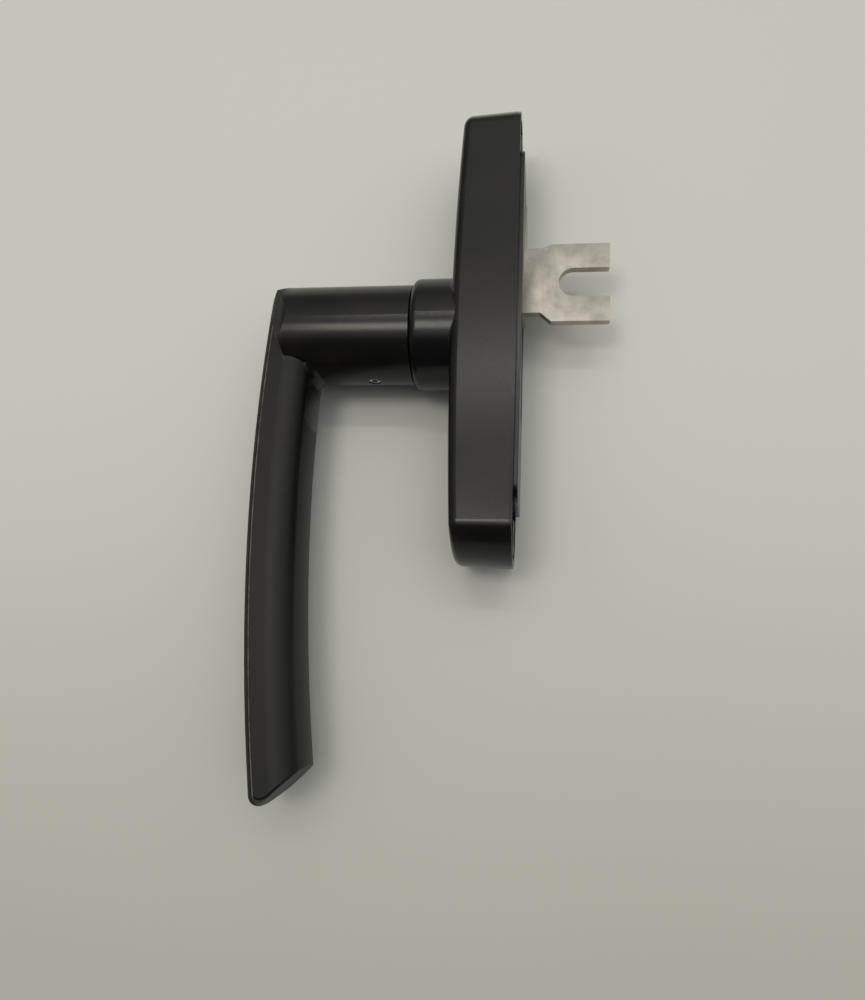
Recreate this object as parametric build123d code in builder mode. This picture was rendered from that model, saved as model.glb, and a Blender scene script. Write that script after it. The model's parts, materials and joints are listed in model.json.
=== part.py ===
"""Cremone window handle: a cast lever that turns a pinion and drives a steel fork along a window sash.

Frame, in millimetres: the origin lies on the spindle axis in the mounting plane. X runs across the
base, -Y points out into the room, +Y points into the sash and +Z points up the window. The lever
hangs down in the position modelled here.
"""
from math import atan2, cos, degrees, pi, radians, sin, sqrt, tan
import os

from build123d import *

os.makedirs("parts", exist_ok=True)

# Base housing
base_length = 153.0
base_width = 38.0
end_depth = 11.8
end_corner_radius = 5.5
base_depth_middle = 20.2
base_depth_end = 17.8
side_draft = 2.6
front_edge_radius = 2.8
side_wall = 2.6
cavity_depth = 15.0
rim_step = 0.2
rim_height = 0.9

# Collar and neck
collar_side_margin = 0.15
collar_front = 33.3
collar_edge_radius = 2.3
collar_foot_radius = 0.8
neck_step = 1.8
bore_floor = 21.6

# Grip of the lever
grip_half_width = 11.5
grip_front_ease = 2.1
grip_side_depth = 5.2
grip_corner_width = 5.0
grip_corner_depth = 8.0
grip_corner_turn = 75.0
grip_curve_radius = 650.0
grip_curve_height = -41.0
grip_crease_front = 80.05
grip_top = 40.0
grip_bottom = -175.0
end_cut_front = 68.5
end_cut_height = -145.8
end_cut_slope = 0.96
tip_radius = 3.0
end_edge_radius = 0.9
mitre_apex_front = 78.65
mitre_apex_height = 0.3
top_corner_start = 0.6
inner_corner_radius = 3.0
front_margin = 1.0
web_half_width = 9.5
web_steps = 3
web_sink = 1.0
web_dip = 0.06
edge_softening = 0.5
crease_bevel = 0.6

# Drive: square spindle, pinion and rack
spindle_size = 7.0
spindle_front = 61.0
spindle_end_radius = 3.0
spindle_end_proud = 0.8
gear_module = 1.0
pinion_teeth = 22
pressure_angle = 20.0
tooth_backlash = 0.12
root_clearance = 0.25
pinion_thickness = 6.0
lever_turn = 180.0
rack_half_length = 26.2
rack_flange_thickness = 3.1

# Steel fork and its strip
sheet_thickness = 3.0
strip_outer = 2.1
strip_width = 12.0
strip_rise = 28.0
fork_reach = 29.1
fork_neck_height = 22.8
fork_neck_lift = 0.9
fork_head_height = 27.2
fork_neck_reach = 7.0
fork_flare = 3.4
fork_flare_radius = 1.0
notch_width = 10.0
notch_reach = 12.8
bend_radius = 1.0
rivet_radius = 1.9
rivet_head_radius = 3.0
rivet_head_depth = 1.0
rivet_margin = 6.0

# Back plate and its screws
plate_half_length = 58.3
plate_proud = 1.4
plate_thickness = 2.0
plate_corner_radius = 6.0
plate_screw_x = 11.0
plate_screw_margin = 5.3
plate_screw_radius = 1.4
plate_screw_head_radius = 2.7
plate_screw_length = 9.0
plate_boss_radius = 3.6
recess_length = 3.0
recess_width = 0.8
recess_depth = 0.9

# Holes that take the fixing screws
fixing_z = 66.8
fixing_hole_radius = 2.65
fixing_head_radius = 4.9
fixing_boss_radius = 5.4
fixing_head_sink = 0.2
countersink_angle = 90.0

# Bush, washers, ring and detents
spigot_radius = 9.0
bush_wall = 1.6
bush_flange_radius = 12.4
bush_flange_thickness = 1.2
bush_flange_proud = 0.25
washer_thickness = 1.0
thrust_washer_radius = 8.6
retaining_washer_radius = 6.6
ring_thickness = 0.8
ring_wall = 1.5
ring_opening = 80.0
ring_groove_depth = 0.5
ball_radius = 1.75
ball_track_radius = 7.1
ball_reach = 0.55
detent_bore_depth = 5.6
dimple_extra = 0.35
detent_gap = 0.15
spring_wire_radius = 0.25
spring_turns = 3.0
set_screw_radius = 2.0
set_screw_front = 46.3
set_screw_sink = 0.4
set_screw_socket = 2.0

# Clearances
running_gap = 0.05
slide_gap = 0.3
seat_gap = 0.02
socket_gap = 0.05

# Sizes worked out from the ones above
half_length = base_length / 2
half_width = base_width / 2
front_half_width = half_width - base_depth_middle * tan(radians(side_draft))
collar_radius = front_half_width - collar_side_margin
neck_radius = collar_radius - neck_step
tangent_z = half_length - end_depth
corner_x = half_width - end_corner_radius
corner_gap = end_depth - end_corner_radius
end_drop = (corner_x**2 - corner_gap**2) / (2 * corner_gap)
corner_turn = atan2(end_drop, corner_x)
join_x = corner_x + end_corner_radius * cos(corner_turn)
join_z = tangent_z + end_corner_radius * sin(corner_turn)
mid_turn = corner_turn / 2
mid_x = corner_x + end_corner_radius * cos(mid_turn)
mid_z = tangent_z + end_corner_radius * sin(mid_turn)

pitch_radius = gear_module * pinion_teeth / 2
tooth_pitch = pi * gear_module
base_radius = pitch_radius * cos(radians(pressure_angle))
root_radius = pitch_radius - gear_module - root_clearance
fork_z = pitch_radius * radians(lever_turn) / 2
pinion_front = cavity_depth - washer_thickness - 2 * running_gap
pinion_back = pinion_front - pinion_thickness
washer_front = pinion_back - running_gap
washer_back = washer_front - washer_thickness
ring_front = washer_back - running_gap
ring_back = ring_front - ring_thickness
spindle_back = ring_back - spindle_end_proud
strip_inner = sheet_thickness - strip_outer
flange_inner = strip_inner + rack_flange_thickness
plate_inner = plate_thickness - plate_proud
cavity_half_width = half_width - side_wall
rack_half_width = cavity_half_width - slide_gap
rack_root_x = pitch_radius + gear_module + root_clearance
rack_tip_x = pitch_radius - gear_module
neck_back = collar_front + bush_flange_proud + running_gap
spigot_back = bore_floor + slide_gap
ball_y = -(spigot_back + ball_reach - ball_radius)
bush_radius = spigot_radius + running_gap + bush_wall
strip_edge_x = sheet_thickness / 2
spindle_corner = spindle_size / sqrt(2)
flange_seat = collar_front + bush_flange_proud - bush_flange_thickness
crown_radius = (half_length**2 + (base_depth_middle - base_depth_end) ** 2) / (
    2 * (base_depth_middle - base_depth_end)
)
countersink_taper = countersink_angle / 2
countersink_slope = tan(radians(countersink_taper))
fixing_sink = (fixing_head_radius - fixing_hole_radius) / countersink_slope
plate_sink = (plate_screw_head_radius - plate_screw_radius) / countersink_slope
fixing_inner_edge = fixing_z - fixing_head_radius
crown_drop = crown_radius - sqrt(crown_radius**2 - fixing_inner_edge**2)
fixing_head_depth = base_depth_middle - crown_drop - fixing_head_sink
plate_screw_z = plate_half_length - plate_screw_margin
plate_screw_spots = [(x * plate_screw_x, z * plate_screw_z) for x in (-1, 1) for z in (-1, 1)]
fixing_spots = [(0, -fixing_z), (0, fixing_z)]
ball_spots = [(-ball_track_radius, 0), (ball_track_radius, 0)]
spring_floor = -(bore_floor - detent_bore_depth) - spring_wire_radius
spring_length = spring_floor - (ball_y + ball_radius + spring_wire_radius)
spring_radius = ball_radius - spring_wire_radius - running_gap
grip_front_radius = neck_radius + grip_front_ease
grip_front_rise = grip_front_radius - sqrt(grip_front_radius**2 - grip_half_width**2)
dimple_spots = ball_spots + [(0, -ball_track_radius), (0, ball_track_radius)]
ring_radius = spindle_end_radius - ring_groove_depth + ring_wall
ring_half_opening = radians(ring_opening / 2)
rivet_x = strip_edge_x - strip_width / 2
neck_low = fork_z + fork_neck_lift - fork_neck_height / 2
neck_high = fork_z + fork_neck_lift + fork_neck_height / 2
strip_top = fork_z + strip_rise
rivet_spots = [(rivet_x, neck_low + rivet_margin), (rivet_x, strip_top - rivet_margin)]
rivet_taper = degrees(atan2(rivet_head_radius - rivet_radius, rivet_head_depth))
slot_top = strip_top + slide_gap
slot_bottom = neck_low - 2 * fork_z - slide_gap
grip_centre_y = grip_curve_radius - grip_crease_front
envelope_x = neck_radius + front_margin
envelope_y = grip_front_radius - sqrt(grip_front_radius**2 - envelope_x**2) - grip_front_rise
lever_front = grip_crease_front + grip_front_rise + grip_half_width
grip_corner_x = grip_half_width - grip_corner_width
grip_corner_arc = atan2(grip_corner_depth * tan(radians(grip_corner_turn)), grip_corner_width)
grip_shoulder_x = grip_corner_x + grip_corner_width * cos(grip_corner_arc)
grip_shoulder_depth = grip_side_depth + grip_corner_depth * sin(grip_corner_arc)
grip_back_radius = grip_shoulder_x / cos(radians(grip_corner_turn))
grip_back_centre = grip_shoulder_depth - grip_back_radius * sin(radians(grip_corner_turn))
grip_depth = grip_back_centre + grip_back_radius
grip_rear = grip_crease_front - grip_half_width - grip_depth
mitre_foot_height = -sqrt(neck_radius**2 - grip_half_width**2)
mitre_foot_rise = mitre_foot_height - grip_curve_height
mitre_foot_front = sqrt((grip_curve_radius - grip_side_depth) ** 2 - mitre_foot_rise**2) - grip_centre_y
mitre_slope = (mitre_apex_height - mitre_foot_height) / (mitre_apex_front - mitre_foot_front)
top_corner_radius = neck_radius - top_corner_start
corner_rise = top_corner_start - grip_curve_height
corner_front = grip_crease_front + grip_front_rise - corner_rise**2 / (2 * grip_curve_radius)


def outline_points(sign):
    """Corner, middle and end points of one rounded end of the base; sign is +1 for the top end."""
    return {
        "right": (half_width, sign * tangent_z),
        "right_mid": (mid_x, sign * mid_z),
        "right_join": (join_x, sign * join_z),
        "apex": (0, sign * half_length),
        "left_join": (-join_x, sign * join_z),
        "left_mid": (-mid_x, sign * mid_z),
        "left": (-half_width, sign * tangent_z),
    }


def grip_back_y(x, z):
    """Y of the soft back of the grip at a given place across its width and at a given height."""
    if abs(x) < grip_shoulder_x:
        offset_back = grip_back_centre + sqrt(grip_back_radius**2 - x**2)
    else:
        corner_part = (abs(x) - grip_corner_x) / grip_corner_width
        offset_back = grip_side_depth + grip_corner_depth * sqrt(1 - corner_part**2)
    return grip_centre_y - sqrt((grip_curve_radius - offset_back) ** 2 - (z - grip_curve_height) ** 2)


def mitre_z(y):
    """Height of the mitre between neck and grip at a given Y."""
    return mitre_apex_height - mitre_slope * (y + mitre_apex_front)


def end_cut_z(y):
    """Height of the slanted end of the grip at a given Y."""
    return end_cut_height + end_cut_slope * (y + end_cut_front)


def involute_angle(radius):
    """Angle swept by the involute of the pinion between its base circle and a given radius."""
    unwound = sqrt(max((radius / base_radius) ** 2 - 1, 0))
    return unwound - atan2(unwound, 1)


def tooth_half_angle(radius):
    """Half the angle taken up by one pinion tooth at a given radius."""
    pitch_half_angle = (tooth_pitch / 2 - tooth_backlash) / (2 * pitch_radius)
    return pitch_half_angle + involute_angle(pitch_radius) - involute_angle(radius)


def pinion_outline():
    """Closed outline of the pinion, with the middle of a gap on the -X side."""
    points = []
    flank = [root_radius, base_radius, (base_radius + pitch_radius) / 2, pitch_radius]
    flank += [pitch_radius + gear_module / 2, pitch_radius + gear_module]
    for tooth in range(pinion_teeth):
        middle = pi + (2 * tooth + 1) * pi / pinion_teeth
        for radius in flank:
            turn = middle - tooth_half_angle(max(radius, base_radius))
            points.append((radius * cos(turn), radius * sin(turn)))
        for radius in reversed(flank):
            turn = middle + tooth_half_angle(max(radius, base_radius))
            points.append((radius * cos(turn), radius * sin(turn)))
    return points


def rack_outline():
    """Closed outline of the toothed leg, with straight-sided teeth that point to the pinion."""
    slope = tan(radians(pressure_angle))
    points = [(-rack_half_width, fork_z - rack_half_length), (-rack_root_x, fork_z - rack_half_length)]
    first = round((fork_z - rack_half_length) / tooth_pitch + 1)
    last = round((fork_z + rack_half_length) / tooth_pitch - 1)
    tooth_half = (tooth_pitch / 2 - tooth_backlash) / 2
    root_half = tooth_half + (rack_root_x - pitch_radius) * slope
    tip_half = tooth_half - (pitch_radius - rack_tip_x) * slope
    for tooth in range(first, last + 1):
        middle = tooth * tooth_pitch
        points.append((-rack_root_x, middle - root_half))
        points.append((-rack_tip_x, middle - tip_half))
        points.append((-rack_tip_x, middle + tip_half))
        points.append((-rack_root_x, middle + root_half))
    points.append((-rack_root_x, fork_z + rack_half_length))
    points.append((-rack_half_width, fork_z + rack_half_length))
    return points


pinion_points = pinion_outline()
rack_points = rack_outline()
top_end = outline_points(1)
bottom_end = outline_points(-1)
back_plane = Plane(origin=(0, 0, 0), x_dir=(1, 0, 0), z_dir=(0, -1, 0))
side_plane = Plane(origin=(0, 0, 0), x_dir=(0, 1, 0), z_dir=(1, 0, 0))


def depth_plane(distance):
    """Plane across the spindle axis, the given distance in front of the mounting plane, facing the room."""
    return Plane(origin=(0, -distance, 0), x_dir=(1, 0, 0), z_dir=(0, -1, 0))


set_screw_plane = Plane(origin=(0, -set_screw_front, -neck_radius), x_dir=(1, 0, 0), z_dir=(0, 0, 1))
set_screw_end_plane = Plane(
    origin=(0, -set_screw_front, -neck_radius + set_screw_sink), x_dir=(1, 0, 0), z_dir=(0, 0, 1)
)
grip_plane = Plane(origin=(0, -grip_crease_front, grip_curve_height), x_dir=(1, 0, 0), z_dir=(0, 0, 1))
grip_axis_up = Axis((0, grip_centre_y, grip_curve_height), (-1, 0, 0))
grip_axis_down = Axis((0, grip_centre_y, grip_curve_height), (1, 0, 0))
grip_arc_up = degrees((grip_top - grip_curve_height) / grip_curve_radius)
grip_arc_down = degrees((grip_curve_height - grip_bottom) / grip_curve_radius)

# Outline of the base, shared by the housing, its hollow and its rim
with BuildSketch() as outline:
    with BuildLine():
        Line(bottom_end["right"], top_end["right"])
        ThreePointArc(top_end["right"], top_end["right_mid"], top_end["right_join"])
        ThreePointArc(top_end["right_join"], top_end["apex"], top_end["left_join"])
        ThreePointArc(top_end["left_join"], top_end["left_mid"], top_end["left"])
        Line(top_end["left"], bottom_end["left"])
        ThreePointArc(bottom_end["left"], bottom_end["left_mid"], bottom_end["left_join"])
        ThreePointArc(bottom_end["left_join"], bottom_end["apex"], bottom_end["right_join"])
        ThreePointArc(bottom_end["right_join"], bottom_end["right_mid"], bottom_end["right"])
    make_face()

# Housing: crowned front, round collar, hollow back with screw bosses, bored for the lever
with BuildPart() as base_housing:
    with BuildSketch(back_plane):
        add(outline.sketch)
    extrude(amount=base_depth_middle, taper=side_draft)
    with BuildSketch(side_plane):
        with BuildLine():
            ThreePointArc(
                (-base_depth_end, -half_length), (-base_depth_middle, 0), (-base_depth_end, half_length)
            )
            Polyline(
                (-base_depth_end, half_length),
                (0, half_length),
                (0, -half_length),
                (-base_depth_end, -half_length),
            )
        make_face()
    extrude(amount=half_width, both=True, mode=Mode.INTERSECT)
    fillet(base_housing.faces().sort_by(Axis.Y)[0].edges(), radius=front_edge_radius)
    with BuildSketch(depth_plane(cavity_depth)):
        Circle(collar_radius)
    extrude(amount=collar_front - cavity_depth)
    collar_wall = base_housing.faces().filter_by(GeomType.CYLINDER).sort_by(
        lambda face: abs(face.radius - collar_radius)
    )[0]
    foot_edges = [
        edge for edge in collar_wall.edges() if edge.center().Y > -collar_front + collar_edge_radius
    ]
    fillet(foot_edges, radius=collar_foot_radius)
    fillet(base_housing.faces().sort_by(Axis.Y)[0].edges(), radius=collar_edge_radius)
    with BuildSketch(back_plane):
        add(outline.sketch)
        offset(outline.sketch, amount=-rim_step, mode=Mode.SUBTRACT)
    extrude(amount=rim_height, mode=Mode.SUBTRACT)
    with BuildSketch(back_plane):
        offset(outline.sketch, amount=-side_wall)
    extrude(amount=cavity_depth, mode=Mode.SUBTRACT)
    with BuildSketch(depth_plane(plate_inner)):
        with Locations(*plate_screw_spots):
            Circle(plate_boss_radius)
    extrude(amount=cavity_depth - plate_inner)
    with BuildSketch(back_plane):
        with Locations(*fixing_spots):
            Circle(fixing_boss_radius)
    extrude(amount=cavity_depth)
    with BuildSketch(depth_plane(plate_inner)):
        with Locations(*plate_screw_spots):
            Circle(plate_screw_radius)
    extrude(amount=plate_screw_length, mode=Mode.SUBTRACT)
    with BuildSketch(back_plane):
        with Locations(*fixing_spots):
            Circle(fixing_hole_radius)
    extrude(amount=base_depth_middle, mode=Mode.SUBTRACT)
    with BuildSketch(depth_plane(fixing_head_depth)):
        with Locations(*fixing_spots):
            Circle(fixing_head_radius)
    extrude(amount=-fixing_sink, taper=countersink_taper, mode=Mode.SUBTRACT)
    with BuildSketch(depth_plane(fixing_head_depth)):
        with Locations(*fixing_spots):
            Circle(fixing_head_radius)
    extrude(amount=front_edge_radius, mode=Mode.SUBTRACT)
    with BuildSketch(depth_plane(bore_floor)):
        Circle(bush_radius)
    extrude(amount=collar_front - bore_floor, mode=Mode.SUBTRACT)
    with BuildSketch(depth_plane(flange_seat)):
        Circle(bush_flange_radius + seat_gap)
    extrude(amount=collar_front - flange_seat, mode=Mode.SUBTRACT)
    with BuildSketch(depth_plane(cavity_depth)):
        Circle(spindle_corner + slide_gap)
    extrude(amount=bore_floor - cavity_depth, mode=Mode.SUBTRACT)
    with BuildSketch(depth_plane(bore_floor - detent_bore_depth)):
        with Locations(*ball_spots):
            Circle(ball_radius + running_gap)
    extrude(amount=detent_bore_depth, mode=Mode.SUBTRACT)
base_housing.part.label = "base_housing"
export_step(base_housing.part, "parts/base_housing.step")

# Flanged bush that lines the collar and carries the lever
with BuildPart() as neck_bush:
    with BuildSketch(depth_plane(bore_floor)):
        Circle(bush_radius - seat_gap)
        Circle(spigot_radius + running_gap, mode=Mode.SUBTRACT)
    extrude(amount=flange_seat - bore_floor)
    with BuildSketch(depth_plane(flange_seat)):
        Circle(bush_flange_radius)
        Circle(spigot_radius + running_gap, mode=Mode.SUBTRACT)
    extrude(amount=bush_flange_thickness)
neck_bush.part.label = "neck_bush"
export_step(neck_bush.part, "parts/neck_bush.step")

# Two spring-loaded balls that click the lever into place
with BuildPart() as detent_balls:
    for ball_x, ball_z in ball_spots:
        with BuildSketch(Plane(origin=(ball_x, ball_y, ball_z), x_dir=(1, 0, 0), z_dir=(0, 0, 1))):
            with BuildLine():
                CenterArc((0, 0), ball_radius, -90, 180)
                Line((0, ball_radius), (0, -ball_radius))
            make_face()
        revolve(axis=Axis((ball_x, ball_y, ball_z), (0, 1, 0)), revolution_arc=360)
detent_balls.part.label = "detent_balls"
export_step(detent_balls.part, "parts/detent_balls.step")

with BuildPart() as detent_springs:
    for ball_x, ball_z in ball_spots:
        with BuildLine() as coil:
            Helix(
                pitch=spring_length / spring_turns,
                height=spring_length,
                radius=spring_radius,
                center=(ball_x, spring_floor, ball_z),
                direction=(0, -1, 0),
            )
        with BuildSketch(Plane(origin=coil.line @ 0, z_dir=coil.line % 0)):
            Circle(spring_wire_radius)
        sweep(path=coil.line)
detent_springs.part.label = "detent_springs"
export_step(detent_springs.part, "parts/detent_springs.step")

with BuildPart() as thrust_washer:
    with BuildSketch(depth_plane(cavity_depth - washer_thickness)):
        Circle(thrust_washer_radius)
        Circle(spindle_corner + slide_gap, mode=Mode.SUBTRACT)
    extrude(amount=washer_thickness)
thrust_washer.part.label = "thrust_washer"
export_step(thrust_washer.part, "parts/thrust_washer.step")

# Cross-section of the grip: rounded front, crisp bevelled edges, flat sides and a soft back
with BuildSketch() as grip_section:
    with BuildLine():
        ThreePointArc((-grip_half_width, 0), (0, -grip_front_rise), (grip_half_width, 0))
        Line((grip_half_width, 0), (grip_half_width, grip_side_depth))
        EllipticalCenterArc(
            (grip_corner_x, grip_side_depth),
            grip_corner_width,
            grip_corner_depth,
            start_angle=0,
            arc_size=degrees(grip_corner_arc),
        )
        ThreePointArc(
            (grip_shoulder_x, grip_shoulder_depth), (0, grip_depth), (-grip_shoulder_x, grip_shoulder_depth)
        )
        EllipticalCenterArc(
            (-grip_corner_x, grip_side_depth),
            grip_corner_width,
            grip_corner_depth,
            start_angle=180 - degrees(grip_corner_arc),
            arc_size=degrees(grip_corner_arc),
        )
        Line((-grip_half_width, grip_side_depth), (-grip_half_width, 0))
    make_face()
    crease_corners = [v for v in grip_section.vertices() if v.Y < grip_side_depth / 2]
    chamfer(crease_corners, length=crease_bevel)

# Grip blank, bowed along its length and cut to the mitre and to the slanted end
with BuildPart() as grip:
    with BuildSketch(grip_plane):
        add(grip_section.sketch)
    revolve(axis=grip_axis_up, revolution_arc=grip_arc_up)
    with BuildSketch(grip_plane):
        add(grip_section.sketch)
    revolve(axis=grip_axis_down, revolution_arc=grip_arc_down)
    with BuildSketch(side_plane):
        with BuildLine():
            Polyline(
                (-lever_front, mitre_z(-lever_front)),
                (-mitre_foot_front, mitre_foot_height),
                (-mitre_foot_front, 0),
                (-grip_rear, 0),
                (-grip_rear, end_cut_z(-grip_rear)),
                (-lever_front, end_cut_z(-lever_front)),
                close=True,
            )
        make_face()
    extrude(amount=base_width, both=True, mode=Mode.INTERSECT)
    end_face = grip.faces().sort_by(Axis.Z)[0]
    tip_edge = end_face.edges().sort_by(Axis.Z)[0]
    fillet(tip_edge, radius=tip_radius)
    end_face = grip.faces().filter_by(GeomType.PLANE).sort_by(Axis.Z)[0]
    fillet(end_face.edges(), radius=end_edge_radius)

# Small rounded web in the inner corner between neck and grip
with BuildPart() as corner_web:
    for step in range(-web_steps, web_steps + 1):
        web_x = web_half_width * step / web_steps
        web_radius = inner_corner_radius * sqrt(1 - (web_x / grip_half_width) ** 2)
        corner_z = -sqrt(neck_radius**2 - web_x**2) + web_dip
        corner_y = grip_back_y(web_x, corner_z) - web_dip
        foot_z = corner_z - web_radius
        foot_y = grip_back_y(web_x, foot_z) - web_dip
        bow = web_radius * (1 - 1 / sqrt(2))
        with BuildSketch(Plane(origin=(web_x, 0, 0), x_dir=(0, 1, 0), z_dir=(1, 0, 0))):
            with BuildLine():
                ThreePointArc(
                    (corner_y + web_radius, corner_z), (corner_y + bow, corner_z - bow), (foot_y, foot_z)
                )
                Polyline(
                    (foot_y, foot_z),
                    (foot_y - web_sink, foot_z),
                    (corner_y - web_sink, corner_z + web_sink),
                    (corner_y + web_radius, corner_z + web_sink),
                    (corner_y + web_radius, corner_z),
                )
            make_face()
    loft()

# Lever: round neck with a spigot behind it, joined to the grip along the mitre
with BuildPart() as lever:
    with BuildSketch(depth_plane(neck_back)):
        Circle(neck_radius)
    extrude(amount=lever_front - neck_back)
    with BuildSketch(grip_plane):
        with BuildLine():
            ThreePointArc((-envelope_x, envelope_y), (0, -grip_front_rise), (envelope_x, envelope_y))
            Polyline(
                (envelope_x, envelope_y),
                (envelope_x, grip_crease_front),
                (-envelope_x, grip_crease_front),
                (-envelope_x, envelope_y),
            )
        make_face()
    revolve(axis=grip_axis_up, revolution_arc=grip_arc_up, mode=Mode.INTERSECT)
    with BuildSketch(side_plane):
        with BuildLine():
            Polyline(
                (0, neck_radius),
                (-corner_front - front_margin, neck_radius),
                (-corner_front - front_margin, mitre_z(-corner_front - front_margin)),
                (-mitre_foot_front, mitre_foot_height),
                (-mitre_foot_front, -base_width),
                (0, -base_width),
                close=True,
            )
        make_face()
    extrude(amount=base_width, both=True, mode=Mode.INTERSECT)
    add(grip.part)
    with BuildSketch(side_plane):
        with BuildLine():
            RadiusArc(
                (-corner_front + top_corner_radius, neck_radius),
                (-corner_front, top_corner_start),
                -top_corner_radius,
            )
            Polyline(
                (-corner_front, top_corner_start),
                (-lever_front, top_corner_start),
                (-lever_front, neck_radius + front_margin),
                (-corner_front + top_corner_radius, neck_radius + front_margin),
                (-corner_front + top_corner_radius, neck_radius),
            )
        make_face()
    extrude(amount=base_width, both=True, mode=Mode.SUBTRACT)
    add(corner_web.part)
    with BuildSketch(depth_plane(spigot_back)):
        Circle(spigot_radius)
    extrude(amount=neck_back - spigot_back)
    with BuildSketch(depth_plane(spigot_back)):
        Rectangle(spindle_size + 2 * socket_gap, spindle_size + 2 * socket_gap)
    extrude(amount=spindle_front + socket_gap - spigot_back, mode=Mode.SUBTRACT)
    with BuildSketch(set_screw_plane):
        Circle(set_screw_radius + seat_gap)
    extrude(amount=neck_radius, mode=Mode.SUBTRACT)
    with BuildSketch(Plane(origin=(ball_track_radius, ball_y, 0), x_dir=(1, 0, 0), z_dir=(0, 0, 1))):
        Circle(ball_radius + detent_gap)
    revolve(axis=Axis.Y, revolution_arc=360, mode=Mode.SUBTRACT)
    for dimple_x, dimple_z in dimple_spots:
        dimple_centre = (dimple_x, ball_y - dimple_extra, dimple_z)
        with BuildSketch(Plane(origin=dimple_centre, x_dir=(1, 0, 0), z_dir=(0, 0, 1))):
            with BuildLine():
                CenterArc((0, 0), ball_radius + detent_gap, -90, 180)
                Line((0, ball_radius + detent_gap), (0, -ball_radius - detent_gap))
            make_face()
        revolve(axis=Axis((dimple_x, ball_y, dimple_z), (0, 1, 0)), revolution_arc=360, mode=Mode.SUBTRACT)
lever.part.label = "lever"
export_step(lever.part, "parts/lever.step")

# Set screw under the neck, which holds the lever on the spindle
with BuildPart() as lever_set_screw:
    with BuildSketch(set_screw_plane):
        Circle(set_screw_radius)
    extrude(amount=neck_radius - spindle_size / 2)
    with BuildSketch(set_screw_plane):
        Circle(set_screw_radius)
    extrude(amount=set_screw_sink, mode=Mode.SUBTRACT)
    with BuildSketch(set_screw_end_plane):
        RegularPolygon(set_screw_socket / 2, 6, major_radius=False)
    extrude(amount=set_screw_socket, mode=Mode.SUBTRACT)
lever_set_screw.part.label = "lever_set_screw"
export_step(lever_set_screw.part, "parts/lever_set_screw.step")

# Square spindle with a turned and grooved end
with BuildPart() as spindle:
    with BuildSketch(depth_plane(pinion_back)):
        Rectangle(spindle_size, spindle_size)
    extrude(amount=spindle_front - pinion_back)
    chamfer(spindle.faces().sort_by(Axis.Y)[0].edges(), length=edge_softening)
    with BuildSketch(depth_plane(spindle_back)):
        Circle(spindle_end_radius)
    extrude(amount=pinion_back - spindle_back)
    chamfer(spindle.faces().sort_by(Axis.Y)[-1].edges(), length=edge_softening / 2)
    with BuildSketch(depth_plane(ring_back)):
        Circle(spindle_size)
        Circle(spindle_end_radius - ring_groove_depth, mode=Mode.SUBTRACT)
    extrude(amount=ring_thickness, mode=Mode.SUBTRACT)
spindle.part.label = "spindle"
export_step(spindle.part, "parts/spindle.step")

# Pinion with involute teeth; one gap between teeth faces the rack
with BuildPart() as pinion:
    with BuildSketch(depth_plane(pinion_back)):
        with BuildLine():
            Polyline(*pinion_points, close=True)
        make_face()
        Rectangle(spindle_size + 2 * socket_gap, spindle_size + 2 * socket_gap, mode=Mode.SUBTRACT)
    extrude(amount=pinion_thickness)
pinion.part.label = "pinion"
export_step(pinion.part, "parts/pinion.step")

with BuildPart() as retaining_washer:
    with BuildSketch(depth_plane(washer_back)):
        Circle(retaining_washer_radius)
        Circle(spindle_end_radius + running_gap, mode=Mode.SUBTRACT)
    extrude(amount=washer_thickness)
retaining_washer.part.label = "retaining_washer"
export_step(retaining_washer.part, "parts/retaining_washer.step")

# Spring ring that snaps into the groove of the spindle
with BuildPart() as retaining_ring:
    with BuildSketch(depth_plane(ring_back)):
        Circle(ring_radius)
        Circle(spindle_end_radius - ring_groove_depth, mode=Mode.SUBTRACT)
        with BuildLine():
            Polyline(
                (0, 0),
                (ring_radius * 2 * sin(ring_half_opening), ring_radius * 2 * cos(ring_half_opening)),
                (-ring_radius * 2 * sin(ring_half_opening), ring_radius * 2 * cos(ring_half_opening)),
                close=True,
            )
        make_face(mode=Mode.SUBTRACT)
    extrude(amount=ring_thickness)
retaining_ring.part.label = "retaining_ring"
export_step(retaining_ring.part, "parts/retaining_ring.step")

# Rack slider: a toothed leg beside the pinion under a flat carrier that slides in the housing
with BuildPart() as rack_slider:
    with BuildSketch(depth_plane(pinion_back)):
        with BuildLine():
            Polyline(*rack_points, close=True)
        make_face()
    extrude(amount=pinion_thickness)
    with BuildSketch(depth_plane(strip_inner)):
        with Locations(((-rack_half_width - rack_root_x) / 2, fork_z)):
            Rectangle(rack_half_width - rack_root_x, 2 * rack_half_length)
    extrude(amount=pinion_front - strip_inner)
    with BuildSketch(depth_plane(strip_inner)):
        with Locations((0, fork_z)):
            Rectangle(2 * rack_half_width, 2 * rack_half_length)
    extrude(amount=rack_flange_thickness)
    with BuildSketch(depth_plane(strip_inner)):
        with Locations(*rivet_spots):
            Circle(rivet_radius)
    extrude(amount=rack_flange_thickness, mode=Mode.SUBTRACT)
    with BuildSketch(depth_plane(flange_inner)):
        with Locations(*rivet_spots):
            Circle(rivet_head_radius)
    extrude(amount=-rivet_head_depth, taper=rivet_taper, mode=Mode.SUBTRACT)
rack_slider.part.label = "rack_slider"
export_step(rack_slider.part, "parts/rack_slider.step")

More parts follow.
